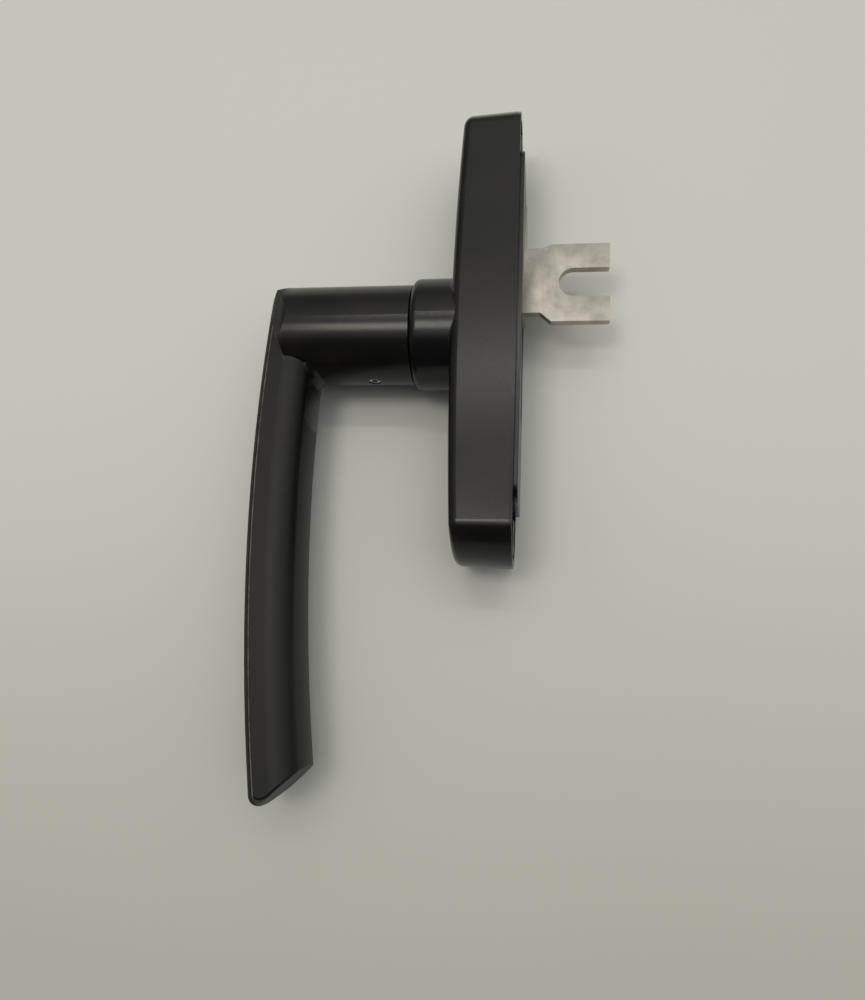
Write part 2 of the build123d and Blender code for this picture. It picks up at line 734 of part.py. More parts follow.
# Steel strip bent up into the fork
with BuildPart() as drive_fork:
    with BuildSketch(depth_plane(strip_inner)):
        with Locations((rivet_x, (strip_top + neck_low) / 2)):
            Rectangle(strip_width, strip_top - neck_low)
    extrude(amount=-sheet_thickness)
    with BuildSketch(side_plane):
        with BuildLine():
            Polyline(
                (-strip_inner, neck_low),
                (fork_neck_reach, neck_low),
                (fork_neck_reach + fork_flare, fork_z - fork_head_height / 2),
                (fork_reach, fork_z - fork_head_height / 2),
                (fork_reach, fork_z - notch_width / 2),
                (notch_reach + notch_width / 2, fork_z - notch_width / 2),
            )
            ThreePointArc(
                (notch_reach + notch_width / 2, fork_z - notch_width / 2),
                (notch_reach, fork_z),
                (notch_reach + notch_width / 2, fork_z + notch_width / 2),
            )
            Polyline(
                (notch_reach + notch_width / 2, fork_z + notch_width / 2),
                (fork_reach, fork_z + notch_width / 2),
                (fork_reach, fork_z + fork_head_height / 2),
                (fork_neck_reach + fork_flare, fork_z + fork_head_height / 2),
                (fork_neck_reach, neck_high),
                (-strip_inner, neck_high),
                (-strip_inner, neck_low),
            )
        make_face()
    extrude(amount=sheet_thickness / 2, both=True)
    bend_edge = [
        edge
        for edge in drive_fork.edges().filter_by(Axis.Z)
        if abs(edge.center().X + strip_edge_x) < seat_gap and abs(edge.center().Y - strip_outer) < seat_gap
    ]
    fillet(bend_edge, radius=bend_radius)
    fork_corners = [
        edge for edge in drive_fork.edges().filter_by(Axis.X) if edge.center().Y > fork_reach - seat_gap
    ]
    fillet(fork_corners, radius=edge_softening)
    flare_edges = [
        edge
        for edge in drive_fork.edges().filter_by(Axis.X)
        if fork_neck_reach - seat_gap < edge.center().Y < fork_neck_reach + fork_flare + seat_gap
    ]
    fillet(flare_edges, radius=fork_flare_radius)
    with BuildSketch(depth_plane(strip_inner)):
        with Locations(*rivet_spots):
            Circle(rivet_radius)
    extrude(amount=-sheet_thickness, mode=Mode.SUBTRACT)
    with BuildSketch(depth_plane(-strip_outer)):
        with Locations(*rivet_spots):
            Circle(rivet_head_radius)
    extrude(amount=rivet_head_depth, taper=rivet_taper, mode=Mode.SUBTRACT)
drive_fork.part.label = "drive_fork"
export_step(drive_fork.part, "parts/drive_fork.step")

# Two flush rivets that join the fork to the rack slider
with BuildPart() as fork_rivets:
    with BuildSketch(depth_plane(-strip_outer)):
        with Locations(*rivet_spots):
            Circle(rivet_radius)
    extrude(amount=strip_outer + flange_inner)
    with BuildSketch(depth_plane(-strip_outer)):
        with Locations(*rivet_spots):
            Circle(rivet_head_radius)
    extrude(amount=rivet_head_depth, taper=rivet_taper)
    with BuildSketch(depth_plane(flange_inner)):
        with Locations(*rivet_spots):
            Circle(rivet_head_radius)
    extrude(amount=-rivet_head_depth, taper=rivet_taper)
fork_rivets.part.label = "fork_rivets"
export_step(fork_rivets.part, "parts/fork_rivets.step")

# Black cover plate over the back of the housing, slotted for the strip
with BuildPart() as back_plate:
    with BuildSketch(depth_plane(plate_inner)):
        RectangleRounded(2 * (cavity_half_width - slide_gap), 2 * plate_half_length, plate_corner_radius)
        with Locations((rivet_x, (slot_top + slot_bottom) / 2)):
            Rectangle(strip_width + 2 * slide_gap, slot_top - slot_bottom, mode=Mode.SUBTRACT)
        with Locations(*plate_screw_spots):
            Circle(plate_screw_radius + running_gap, mode=Mode.SUBTRACT)
    extrude(amount=-plate_thickness)
    with BuildSketch(depth_plane(-plate_proud)):
        with Locations(*plate_screw_spots):
            Circle(plate_screw_head_radius + running_gap)
    extrude(amount=plate_sink, taper=countersink_taper, mode=Mode.SUBTRACT)
back_plate.part.label = "back_plate"
export_step(back_plate.part, "parts/back_plate.step")

# Four countersunk screws that hold the cover plate
with BuildPart() as plate_screws:
    with BuildSketch(depth_plane(-plate_proud)):
        with Locations(*plate_screw_spots):
            Circle(plate_screw_head_radius)
    extrude(amount=plate_sink, taper=countersink_taper)
    with BuildSketch(depth_plane(-plate_proud)):
        with Locations(*plate_screw_spots):
            Circle(plate_screw_radius)
    extrude(amount=plate_proud + plate_inner + plate_screw_length - slide_gap)
    with BuildSketch(depth_plane(-plate_proud)):
        with Locations(*plate_screw_spots):
            Rectangle(recess_length, recess_width)
            Rectangle(recess_width, recess_length)
    extrude(amount=recess_depth, mode=Mode.SUBTRACT)
plate_screws.part.label = "plate_screws"
export_step(plate_screws.part, "parts/plate_screws.step")
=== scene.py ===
# %% [markdown]
# A window handle that drives a sliding fork, dressed around its CAD frame.
# The solids come packed from CAD, in metres. This script keeps them where they are, gives each one a
# finish, and swaps the small pieces for ones with finer detail: screws, rivets, springs and the steel fork.

# %% Load the frame
import json
import math

import bmesh
import bpy
from mathutils import Matrix, Vector

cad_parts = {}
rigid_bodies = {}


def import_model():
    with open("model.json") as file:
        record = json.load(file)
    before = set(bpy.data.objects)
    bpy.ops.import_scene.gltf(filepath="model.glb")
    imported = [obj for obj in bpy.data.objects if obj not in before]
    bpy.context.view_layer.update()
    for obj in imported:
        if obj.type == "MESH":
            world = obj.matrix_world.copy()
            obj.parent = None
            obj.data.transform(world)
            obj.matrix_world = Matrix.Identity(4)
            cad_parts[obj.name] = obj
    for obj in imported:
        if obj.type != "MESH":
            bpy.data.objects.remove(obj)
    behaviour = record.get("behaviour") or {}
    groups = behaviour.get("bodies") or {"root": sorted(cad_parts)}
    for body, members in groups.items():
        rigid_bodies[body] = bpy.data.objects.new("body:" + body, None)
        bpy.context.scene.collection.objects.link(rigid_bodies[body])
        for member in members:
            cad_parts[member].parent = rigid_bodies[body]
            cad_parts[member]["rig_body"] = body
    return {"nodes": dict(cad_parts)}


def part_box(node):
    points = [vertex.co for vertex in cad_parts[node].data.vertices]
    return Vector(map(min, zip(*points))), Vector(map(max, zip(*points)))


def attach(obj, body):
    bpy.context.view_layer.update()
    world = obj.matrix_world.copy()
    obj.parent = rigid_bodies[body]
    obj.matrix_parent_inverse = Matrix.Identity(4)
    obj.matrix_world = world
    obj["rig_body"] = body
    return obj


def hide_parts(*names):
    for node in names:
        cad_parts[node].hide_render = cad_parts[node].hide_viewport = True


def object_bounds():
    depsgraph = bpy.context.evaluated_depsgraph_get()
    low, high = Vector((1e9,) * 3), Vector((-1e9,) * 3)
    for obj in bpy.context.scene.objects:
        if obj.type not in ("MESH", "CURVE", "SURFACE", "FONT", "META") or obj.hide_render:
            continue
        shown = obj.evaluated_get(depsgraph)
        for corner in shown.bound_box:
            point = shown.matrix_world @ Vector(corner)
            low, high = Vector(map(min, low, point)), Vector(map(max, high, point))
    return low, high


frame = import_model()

cad_low, cad_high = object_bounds()
nodes = frame["nodes"]
scene = bpy.context.scene
MM = 0.001

# %% [markdown]
# The camera comes first, because every later choice is judged through it. It looks down on the handle,
# which lies on its side, from a little below the grip. Its place and turn were worked out from lines and
# edges of known size, so they are written as numbers: where the lens is, and which way right, up and back
# are.

# %% Camera
IMAGE_HEIGHT = 1000
FOCAL_PIXELS = 765.54
SENSOR = 36.0
LENS_SHIFT = 0.0005
NEAREST_SEEN = 0.01
FARTHEST_SEEN = 20.0
lens_place = Vector((0.23222, 0.00724, -0.10560))
lens_right = Vector((-0.130726, 0.990429, 0.044277))
lens_up = Vector((0.213624, -0.015471, 0.976793))
lens_back = Vector((0.968130, 0.137150, -0.209557))

camera_data = bpy.data.cameras.new("lens")
camera_data.sensor_width = SENSOR
camera_data.lens = FOCAL_PIXELS * SENSOR / IMAGE_HEIGHT
camera_data.shift_x = LENS_SHIFT
camera_data.clip_start = NEAREST_SEEN
camera_data.clip_end = FARTHEST_SEEN
camera = bpy.data.objects.new("camera", camera_data)
turn = Matrix((lens_right, lens_up, lens_back)).transposed().to_4x4()
camera.matrix_world = Matrix.Translation(lens_place) @ turn
scene.collection.objects.link(camera)
scene.camera = camera
print("camera:", round(camera_data.lens, 2), "mm lens at", [round(v, 3) for v in lens_place])

# %% [markdown]
# A finish is a small node tree, and most of it is arithmetic. Adding Math nodes by hand hides the idea,
# so one class wraps a socket and lets Python's own operators add the nodes. A second class holds the
# material and has one method that makes any other node, sets it up and links it.

# %% Shader maths
class Value:
    """A socket that takes part in sums; each operator adds one Math node."""

    def __init__(self, finish, socket):
        self.finish = finish
        self.socket = socket

    def math(self, operation, *inputs):
        return self.finish.node("ShaderNodeMath", {"operation": operation}, dict(enumerate(inputs)))

    def __add__(self, other):
        return self.math("ADD", self, other)

    __radd__ = __add__

    def __sub__(self, other):
        return self.math("SUBTRACT", self, other)

    def __rsub__(self, other):
        return self.math("SUBTRACT", other, self)

    def __mul__(self, other):
        return self.math("MULTIPLY", self, other)

    __rmul__ = __mul__

    def __truediv__(self, other):
        return self.math("DIVIDE", self, other)

    def __pow__(self, other):
        return self.math("POWER", self, other)

    def __abs__(self):
        return self.math("ABSOLUTE", self)

    def ramp(self, start, end):
        """Smooth step from 0 at start to 1 at end; start may be the larger."""
        settings = {"interpolation_type": "SMOOTHSTEP"}
        low, high = min(start, end), max(start, end)
        to_low, to_high = (0.0, 1.0) if start < end else (1.0, 0.0)
        inputs = {0: self, 1: low, 2: high, 3: to_low, 4: to_high}
        return self.finish.node("ShaderNodeMapRange", settings, inputs)

    def line(self, centre, half_width):
        """1 on the line where the value equals centre, fading to 0 half_width away."""
        return abs(self - centre).ramp(half_width, 0.0)


# %% Finishes as objects
class Finish:
    """A material in the making, or the tree of the world."""

    def __init__(self, name, tree=None):
        if tree is None:
            self.material = bpy.data.materials.new(name)
            self.material.use_nodes = True
            tree = self.material.node_tree
        self.tree = tree
        self.tree.nodes.clear()

    def node(self, kind, settings=None, inputs=None, output=0):
        node = self.tree.nodes.new(kind)
        for name, setting in (settings or {}).items():
            setattr(node, name, setting)
        for name, value in (inputs or {}).items():
            if isinstance(value, Value):
                self.tree.links.new(value.socket, node.inputs[name])
            else:
                node.inputs[name].default_value = value
        return Value(self, node.outputs[output]) if node.outputs else None

    def place(self):
        return self.node("ShaderNodeTexCoord", output="Object")

    def axes(self, vector):
        split = self.node("ShaderNodeSeparateXYZ", inputs={0: vector}).socket.node
        return [Value(self, socket) for socket in split.outputs]

    def noise(self, vector, scale, detail=2.0, roughness=0.5):
        inputs = {"Vector": vector, "Scale": scale, "Detail": detail, "Roughness": roughness}
        return self.node("ShaderNodeTexNoise", None, inputs)

    def blend(self, factor, first, second):
        """Colour that runs from first to second."""
        return self.node("ShaderNodeMix", {"data_type": "RGBA"}, {0: factor, 6: first, 7: second}, output=2)

    def bump(self, height, distance, strength):
        inputs = {"Height": height, "Distance": distance, "Strength": strength}
        return self.node("ShaderNodeBump", None, inputs)

    def surface(self, **inputs):
        """The one shader of the finish; names use an underscore for a space."""
        named = {name.replace("_", " "): value for name, value in inputs.items()}
        shader = self.node("ShaderNodeBsdfPrincipled", None, named)
        self.node("ShaderNodeOutputMaterial", None, {"Surface": shader})
        return self.material


def colour(red, green, blue):
    return (red, green, blue, 1.0)


print("shader helpers ready")

# %% [markdown]
# The lever and the housing share a powder coat: almost black, satin, with a fine grain that breaks up
# the highlights. The grain is a noise in the object's own coordinates, used as a bump of a few hundredths
# of a millimetre. A second, broad noise warms and cools the black a little, as baked coats do.

# %% Powder coat
COAT_GRAIN = 2300.0
COAT_CLOUD = 55.0
COAT_GRAIN_HEIGHT = 0.022 * MM
COAT_GRAIN_STRENGTH = 0.55
COAT_GLOSS = 0.30
COAT_ROUGH = 0.14
CLOUD_ROUGH = 0.06
GRAIN_ROUGH = 0.08
WORN_GLINT_ROUGH = 0.12
MATT_ROUGH = 0.5
COAT_DARK = colour(0.0075, 0.0075, 0.0076)
COAT_WARM = colour(0.0125, 0.0115, 0.0102)
COAT_HELD = colour(0.005, 0.005, 0.0048)
# Light grey of the worn edges, partly a painted highlight on the bevel.
COAT_WORN_GLINT = colour(0.21, 0.20, 0.185)


def powder_coat(name, use=None):
    """Satin coat; use is a function that returns masks of worn edges with a painted highlight, matt places
    and held places.
    """
    coat = Finish(name)
    place = coat.place()
    grain = coat.noise(place, COAT_GRAIN, detail=3.0, roughness=0.6)
    cloud = coat.noise(place, COAT_CLOUD, detail=4.0)
    tint = coat.blend(cloud.ramp(0.35, 0.7), COAT_DARK, COAT_WARM)
    rough = COAT_ROUGH + CLOUD_ROUGH * cloud + GRAIN_ROUGH * grain
    if use is not None:
        worn_and_glint, matt, held = use(coat, place)
        tint = coat.blend(held, tint, COAT_HELD)
        # Edges painted light grey: partly wear, partly a painted highlight.
        tint = coat.blend(worn_and_glint, tint, COAT_WORN_GLINT)
        rough = rough + WORN_GLINT_ROUGH * worn_and_glint + MATT_ROUGH * matt
    normal = coat.bump(grain, COAT_GRAIN_HEIGHT, COAT_GRAIN_STRENGTH)
    return coat.surface(Base_Color=tint, Roughness=rough, Specular_IOR_Level=COAT_GLOSS, Normal=normal)


# %% [markdown]
# A hand slides along the grip thousands of times, and the two crisp edges of its rounded front are the
# first to wear. They are painted light grey, partly for that wear and partly as a painted highlight, the
# thin glint of the small bevel. The edge is an arc, so the mask needs no painted map: the distance from the
# arc's centre says how far behind the edge a point lies. The same distance tells the front, rubbed matt,
# from the sides. The mitre where neck and grip meet is a straight line seen from the side, and gets the same
# painted wear and highlight. Below it, where the hand closes, the coat is a little darker.

# %% Worn edges and painted highlights of the grip
GRIP_ARC = 650.0 * MM
GRIP_CENTRE_Y = 569.95 * MM
GRIP_CENTRE_Z = -41.0 * MM
GRIP_STARTS_Z = 0.5 * MM
GRIP_FULL_Z = -1.5 * MM
BEVEL_MIDDLE = 0.25 * MM
BEVEL_INSIDE = 10.9 * MM
BEVEL_FADE = 0.2 * MM
WEAR_GLINT_LINE = 0.38 * MM
WEAR_LEAST = 0.35
WEAR_PATCHES = 260.0
MITRE_TOP_Y = -78.65 * MM
MITRE_TOP_Z = 0.3 * MM
MITRE_SLOPE = 2.59
MITRE_FOOT_Z = -11.3 * MM
MITRE_FOOT_FADE = 2.0 * MM
MITRE_LINE = 0.22 * MM
MITRE_WEAR_GLINT = 0.5
MITRE_BLUR = 0.5 * MM
FOOT_BLUR = 0.3 * MM
FOOT_ENDS_Y = -66.0 * MM
FOOT_FULL_Y = -69.0 * MM
FRONT_BLUR = 0.1 * MM
NECK_END_Y = -78.0 * MM
NECK_END_FADE = 5.0 * MM
SIDE_MATT = 0.5
FRONT_MATT = 1.0
END_MATT = 0.8


def grip_use(coat, place):
    """Masks of worn edges with their painted highlight, of matt places and of all that a hand holds, which is
    the grip below the mitre.
    """
    x, y, z = coat.axes(place)
    reach = ((y - GRIP_CENTRE_Y) ** 2.0 + (z - GRIP_CENTRE_Z) ** 2.0) ** 0.5
    behind = GRIP_ARC - reach
    near_side = abs(x).ramp(BEVEL_INSIDE - BEVEL_FADE, BEVEL_INSIDE)
    on_grip = z.ramp(GRIP_STARTS_Z, GRIP_FULL_Z)
    crease = behind.line(BEVEL_MIDDLE, WEAR_GLINT_LINE) * near_side * on_grip
    off_mitre = (z - MITRE_TOP_Z + MITRE_SLOPE * (y - MITRE_TOP_Y)) / (1.0 + MITRE_SLOPE**2) ** 0.5
    above_foot = z.ramp(MITRE_FOOT_Z - MITRE_FOOT_FADE, MITRE_FOOT_Z)
    mitre = off_mitre.line(0.0, MITRE_LINE) * near_side * above_foot * on_grip
    patchy = coat.noise(place, WEAR_PATCHES, detail=4.0, roughness=0.65).ramp(0.3, 0.62)
    # Light grey line along the crease and the mitre: part wear, part painted highlight, made patchy.
    worn_and_glint = (crease + MITRE_WEAR_GLINT * mitre) * (WEAR_LEAST + (1.0 - WEAR_LEAST) * patchy)
    front = behind.ramp(FRONT_BLUR, -FRONT_BLUR)
    under_foot = z.ramp(MITRE_FOOT_Z + FOOT_BLUR, MITRE_FOOT_Z - FOOT_BLUR) * y.ramp(FOOT_ENDS_Y, FOOT_FULL_Y)
    on_neck = (1.0 - off_mitre.ramp(MITRE_BLUR, -MITRE_BLUR)) * (1.0 - under_foot)
    neck_end = y.ramp(NECK_END_Y + NECK_END_FADE, NECK_END_Y) * on_neck
    held = 1.0 - on_neck
    matt = held * (SIDE_MATT + (FRONT_MATT - SIDE_MATT) * front) + END_MATT * neck_end
    return worn_and_glint, matt, held


lever_coat = powder_coat("lever_coat", grip_use)
housing_coat = powder_coat("housing_coat")
print("coats:", lever_coat.name, housing_coat.name)

# %% [markdown]
# The fork is punched from rolled steel strip and left bare, so it is the one bright piece. Rolled steel is
# a metal with cloudy stains and fine streaks along the rolling direction. Stretching the coordinates of a
# noise along one axis gives the streaks.

# %% Steels
STREAK_SCALE = 900.0
STREAK_SQUEEZE = 0.04
STREAK_ROUGH = 0.12
STAIN_SCALE = 190.0
STAIN_ROUGH = 0.16
PIT_SCALE = 2600.0
STEEL_RELIEF = 0.008 * MM


def bare_steel(name, tone, stain, streak_axis, rough):
    """Metal with cloudy stains and streaks; streak_axis is 0, 1 or 2."""
    steel = Finish(name)
    place = steel.place()
    squeeze = [1.0, 1.0, 1.0]
    squeeze[streak_axis] = STREAK_SQUEEZE
    drawn = steel.node("ShaderNodeVectorMath", {"operation": "MULTIPLY"}, {0: place, 1: squeeze})
    streak = steel.noise(drawn, STREAK_SCALE, detail=3.0)
    cloud = steel.noise(place, STAIN_SCALE, detail=5.0, roughness=0.62)
    tint = steel.blend(cloud.ramp(0.32, 0.72), tone, stain)
    finish = rough + STAIN_ROUGH * cloud + STREAK_ROUGH * streak
    pitted = steel.noise(place, PIT_SCALE, detail=2.0)
    normal = steel.bump(streak * 0.6 + pitted * 0.4, STEEL_RELIEF, 0.5)
    return steel.surface(Base_Color=tint, Metallic=1.0, Roughness=finish, Normal=normal)


fork_steel = bare_steel("fork_steel", colour(0.50, 0.475, 0.43), colour(0.40, 0.38, 0.34), 2, 0.40)
bright_steel = bare_steel("bright_steel", colour(0.70, 0.69, 0.67), colour(0.58, 0.57, 0.55), 1, 0.16)
spring_steel = bare_steel("spring_steel", colour(0.34, 0.34, 0.345), colour(0.24, 0.235, 0.23), 1, 0.24)
print("steels:", fork_steel.name, bright_steel.name, spring_steel.name)

# %% [markdown]
# Die-cast zinc is greyer and duller than steel, with a soft skin from the mould. The cover plate, the bush
# and the washer are moulded nylon: dark, with a faint spark-eroded grain.

# %% Castings and mouldings
ZINC_SKIN = 700.0
ZINC_CLOUD = 90.0
ZINC_ROUGH = 0.36
ZINC_RELIEF = 0.02 * MM
NYLON_GRAIN = 1500.0
NYLON_CLOUD = 120.0
NYLON_RELIEF = 0.012 * MM


def cast_zinc(name):
    zinc = Finish(name)
    place = zinc.place()
    skin = zinc.noise(place, ZINC_SKIN, detail=4.0, roughness=0.6)
    cloud = zinc.noise(place, ZINC_CLOUD, detail=3.0)
    tint = zinc.blend(cloud.ramp(0.3, 0.7), colour(0.42, 0.42, 0.43), colour(0.52, 0.52, 0.52))
    normal = zinc.bump(skin, ZINC_RELIEF, 0.6)
    return zinc.surface(Base_Color=tint, Metallic=1.0, Roughness=ZINC_ROUGH + 0.2 * skin, Normal=normal)


def moulded_nylon(name, dark, light, rough):
    nylon = Finish(name)
    place = nylon.place()
    grain = nylon.noise(place, NYLON_GRAIN, detail=2.0)
    cloud = nylon.noise(place, NYLON_CLOUD, detail=3.0)
    tint = nylon.blend(cloud.ramp(0.3, 0.7), dark, light)
    normal = nylon.bump(grain, NYLON_RELIEF, 0.5)
    return nylon.surface(Base_Color=tint, Roughness=rough + 0.14 * cloud, Normal=normal)


zinc_skin = cast_zinc("cast_zinc")
plate_black = moulded_nylon("plate_black", colour(0.0055, 0.0055, 0.006), colour(0.010, 0.010, 0.0105), 0.22)
nylon_grey = moulded_nylon("nylon_grey", colour(0.03, 0.03, 0.031), colour(0.045, 0.045, 0.045), 0.42)

node_finishes = {
    "base_housing": housing_coat,
    "lever": lever_coat,
    "neck_bush": nylon_grey,
    "thrust_washer": nylon_grey,
    "detent_balls": bright_steel,
    "lever_set_screw": bright_steel,
    "spindle": bright_steel,
    "retaining_washer": bright_steel,
    "retaining_ring": spring_steel,
    "pinion": zinc_skin,
    "rack_slider": zinc_skin,
}
for node_name, finish in node_finishes.items():
    nodes[node_name].data.materials.clear()
    nodes[node_name].data.materials.append(finish)
print("finished nodes:", len(node_finishes))

# %% [markdown]
# The fork and the cover plate are right in CAD, apart from their edges: a press tool rolls one edge of the
# sheet, and a mould leaves none sharp. A copy of the solid, with its flat faces joined up again, takes a
# Bevel modifier, and the copy stands for the node.

# %% Softened copies
SHEET_EDGE = 0.22 * MM
PLATE_EDGE = 0.30 * MM
FLAT_ANGLE = math.radians(4.0)
CORNER_ANGLE = math.radians(35.0)
WELD = 0.001 * MM
EDGE_STEPS = 3


def settle(worked, piece_name, material, body, stands_for):
    """Turns an object with live modifiers into a plain mesh that rides on a body and stands for a node."""
    depsgraph = bpy.context.evaluated_depsgraph_get()
    mesh = bpy.data.meshes.new_from_object(worked.evaluated_get(depsgraph))
    bpy.data.objects.remove(worked)
    mesh.name = piece_name
    mesh.materials.clear()
    mesh.materials.append(material)
    mesh.shade_smooth()
    mesh.set_sharp_from_angle(angle=CORNER_ANGLE)
    piece = bpy.data.objects.new(piece_name, mesh)
    scene.collection.objects.link(piece)
    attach(piece, body)
    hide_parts(stands_for)
    print(piece_name, "faces:", len(mesh.polygons))


def softened(node_name, piece_name, edge, material):
    """Copy of a node with small round edges; it rides on the node's body and stands for the node."""
    cad = nodes[node_name]
    work = bmesh.new()
    work.from_mesh(cad.data)
    bmesh.ops.remove_doubles(work, verts=work.verts, dist=WELD)
    bmesh.ops.dissolve_limit(work, angle_limit=FLAT_ANGLE, verts=work.verts, edges=work.edges)
    mesh = bpy.data.meshes.new(piece_name)
    work.to_mesh(mesh)
    work.free()
    sharp_piece = bpy.data.objects.new(piece_name + "_sharp", mesh)
    scene.collection.objects.link(sharp_piece)
    round_over = sharp_piece.modifiers.new("edges", "BEVEL")
    round_over.width = edge
    round_over.segments = EDGE_STEPS
    round_over.limit_method = "ANGLE"
    round_over.angle_limit = CORNER_ANGLE
    settle(sharp_piece, piece_name, material, cad["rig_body"], node_name)


softened("drive_fork", "fork_sheet", SHEET_EDGE, fork_steel)
softened("back_plate", "cover_plate", PLATE_EDGE, plate_black)

# %% [markdown]
# What repeats is made with Geometry Nodes, so that its sizes stay inputs of one tree. A helper class keeps
# the trees short: it makes a node, links what is given, and returns the output. Each tree ends in Realize
# Instances and Set Material, and the result is turned into a plain mesh before it joins the object.

# %% Geometry helper
class Shape:
    """A Geometry Nodes tree in the making, with named number inputs."""

    def __init__(self, name, sizes):
        self.tree = bpy.data.node_groups.new(name, "GeometryNodeTree")
        self.sizes = sizes
        face = self.tree.interface
        self.keys = {}
        for size in sizes:
            self.keys[size] = face.new_socket(size, in_out="INPUT", socket_type="NodeSocketFloat").identifier
        face.new_socket("Geometry", in_out="OUTPUT", socket_type="NodeSocketGeometry")
        self.entry = self.tree.nodes.new("NodeGroupInput")

    def size(self, name):
        return self.entry.outputs[name]

    def node(self, kind, settings=None, inputs=None, output=0):
        node = self.tree.nodes.new(kind)
        for name, setting in (settings or {}).items():
            setattr(node, name, setting)
        for name, value in (inputs or {}).items():
            parts = value if isinstance(value, list) else [value]
            for part in parts:
                if isinstance(part, bpy.types.NodeSocket):
                    self.tree.links.new(part, node.inputs[name])
                else:
                    node.inputs[name].default_value = part
        return node.outputs[output]

    def vector(self, x, y, z):
        return self.node("ShaderNodeCombineXYZ", None, {0: x, 1: y, 2: z})

    def swept(self, path, profile):
        inputs = {"Curve": path, "Profile Curve": profile, "Fill Caps": True}
        return self.node("GeometryNodeCurveToMesh", None, inputs)

    def cut(self, body, tool):
        settings = {"operation": "DIFFERENCE", "solver": "EXACT"}
        return self.node("GeometryNodeMeshBoolean", settings, {"Mesh 1": body, "Mesh 2": tool})

    def turned(self, geometry, turn):
        return self.moved(geometry, (0.0, 0.0, 0.0), turn)

    def sum(self, operation, first, second):
        return self.node("ShaderNodeMath", {"operation": operation}, {0: first, 1: second})

    def moved(self, geometry, offset, turn=(0.0, 0.0, 0.0)):
        inputs = {"Geometry": geometry, "Translation": offset, "Rotation": turn}
        return self.node("GeometryNodeTransform", None, inputs)

    def join(self, *parts):
        return self.node("GeometryNodeJoinGeometry", None, {0: list(reversed(parts))})

    def at_points(self, points, instance):
        return self.node("GeometryNodeInstanceOnPoints", None, {"Points": points, "Instance": instance})

    def grown(self, geometry, material):
        """Ends the tree, runs it on an empty mesh and returns the object with its live modifier."""
        real = self.node("GeometryNodeRealizeInstances", None, {0: geometry})
        dressed = self.node("GeometryNodeSetMaterial", None, {"Geometry": real, "Material": material})
        leave = self.tree.nodes.new("NodeGroupOutput")
        self.tree.links.new(dressed, leave.inputs[0])
        holder = bpy.data.objects.new(self.tree.name, bpy.data.meshes.new(self.tree.name))
        scene.collection.objects.link(holder)
        grow = holder.modifiers.new("grow", "NODES")
        grow.node_group = self.tree
        for name, value in self.sizes.items():
            grow[self.keys[name]] = value
        return holder


FACE_TO_SASH = (math.radians(-90.0), 0.0, 0.0)
STAND_UP = (math.radians(90.0), 0.0, 0.0)
print("geometry helper ready")

# %% [markdown]
# Four small countersunk screws hold the cover plate. Each is a cone, a shank and a thread that is a spiral
# swept with a little triangle; two thin blocks cut the cross in the head. The shape points along Z and is
# turned once, so that its head faces the sash.

# %% Cover screws
plate_low, plate_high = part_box("plate_screws")
HEAD_RADIUS = 2.7 * MM
SHANK_RADIUS = 1.4 * MM
CROSS_LENGTH = 3.0 * MM
CROSS_WIDTH = 0.8 * MM
CROSS_DEPTH = 0.9 * MM
THREAD_PITCH = 0.75 * MM
THREAD_HEIGHT = 0.22 * MM
THREAD_FOOT = -0.98
HEAD_SIDES = 32
CORE_SIDES = 24
STEPS_PER_TURN = 20
screw_length = plate_high.y - plate_low.y
screw_sizes = {
    "Head radius": HEAD_RADIUS,
    "Head depth": HEAD_RADIUS - SHANK_RADIUS,
    "Core radius": SHANK_RADIUS - THREAD_HEIGHT,
    "Length": screw_length,
    "Spread X": plate_high.x - plate_low.x - 2 * HEAD_RADIUS,
    "Spread Z": plate_high.z - plate_low.z - 2 * HEAD_RADIUS,
    "Head face": plate_high.y,
}
screws = Shape("cover_screws", screw_sizes)
head = screws.node("GeometryNodeMeshCone", None, {
    "Vertices": HEAD_SIDES, "Radius Top": screws.size("Head radius"),
    "Radius Bottom": screws.size("Core radius"), "Depth": screws.size("Head depth"),
})
head = screws.moved(head, screws.vector(0.0, 0.0, screws.sum("MULTIPLY", screws.size("Head depth"), -1.0)))
for across, along in ((CROSS_LENGTH, CROSS_WIDTH), (CROSS_WIDTH, CROSS_LENGTH)):
    blade = screws.node("GeometryNodeMeshCube", None, {"Size": (across, along, 2 * CROSS_DEPTH)})
    head = screws.cut(head, blade)
core_length = screws.sum("SUBTRACT", screws.size("Length"), screws.size("Head depth"))
core = screws.node("GeometryNodeMeshCylinder", None, {
    "Vertices": CORE_SIDES, "Radius": screws.size("Core radius"), "Depth": core_length,
})
core_ends = screws.sum("ADD", screws.size("Length"), screws.size("Head depth"))
core = screws.moved(core, screws.vector(0.0, 0.0, screws.sum("MULTIPLY", core_ends, -0.5)))
turns = (screw_length - HEAD_RADIUS) / THREAD_PITCH
spiral = screws.node("GeometryNodeCurveSpiral", None, {
    "Resolution": STEPS_PER_TURN, "Rotations": turns, "Start Radius": screws.size("Core radius"),
    "End Radius": screws.size("Core radius"), "Height": turns * THREAD_PITCH,
})
tooth = screws.node("GeometryNodeCurvePrimitiveCircle", None, {"Resolution": 3, "Radius": THREAD_HEIGHT})
thread_foot = screws.sum("MULTIPLY", screws.size("Length"), THREAD_FOOT)
thread = screws.moved(screws.swept(spiral, tooth), screws.vector(0.0, 0.0, thread_foot))
screw = screws.turned(screws.join(head, core, thread), FACE_TO_SASH)
corners = screws.node("GeometryNodeMeshGrid", None, {
    "Size X": screws.size("Spread X"), "Size Y": screws.size("Spread Z"), "Vertices X": 2, "Vertices Y": 2,
})
corners = screws.moved(corners, screws.vector(0.0, screws.size("Head face"), 0.0), STAND_UP)
holder = screws.grown(screws.at_points(corners, screw), spring_steel)
settle(holder, "cover_screws", spring_steel, "base", "plate_screws")

# %% [markdown]
# Two rivets fasten the fork to the slider behind it. They are set flush, so only a disc with a faint dish
# shows. Each is a shank with a cone at either end, and a large sphere cuts the dish.

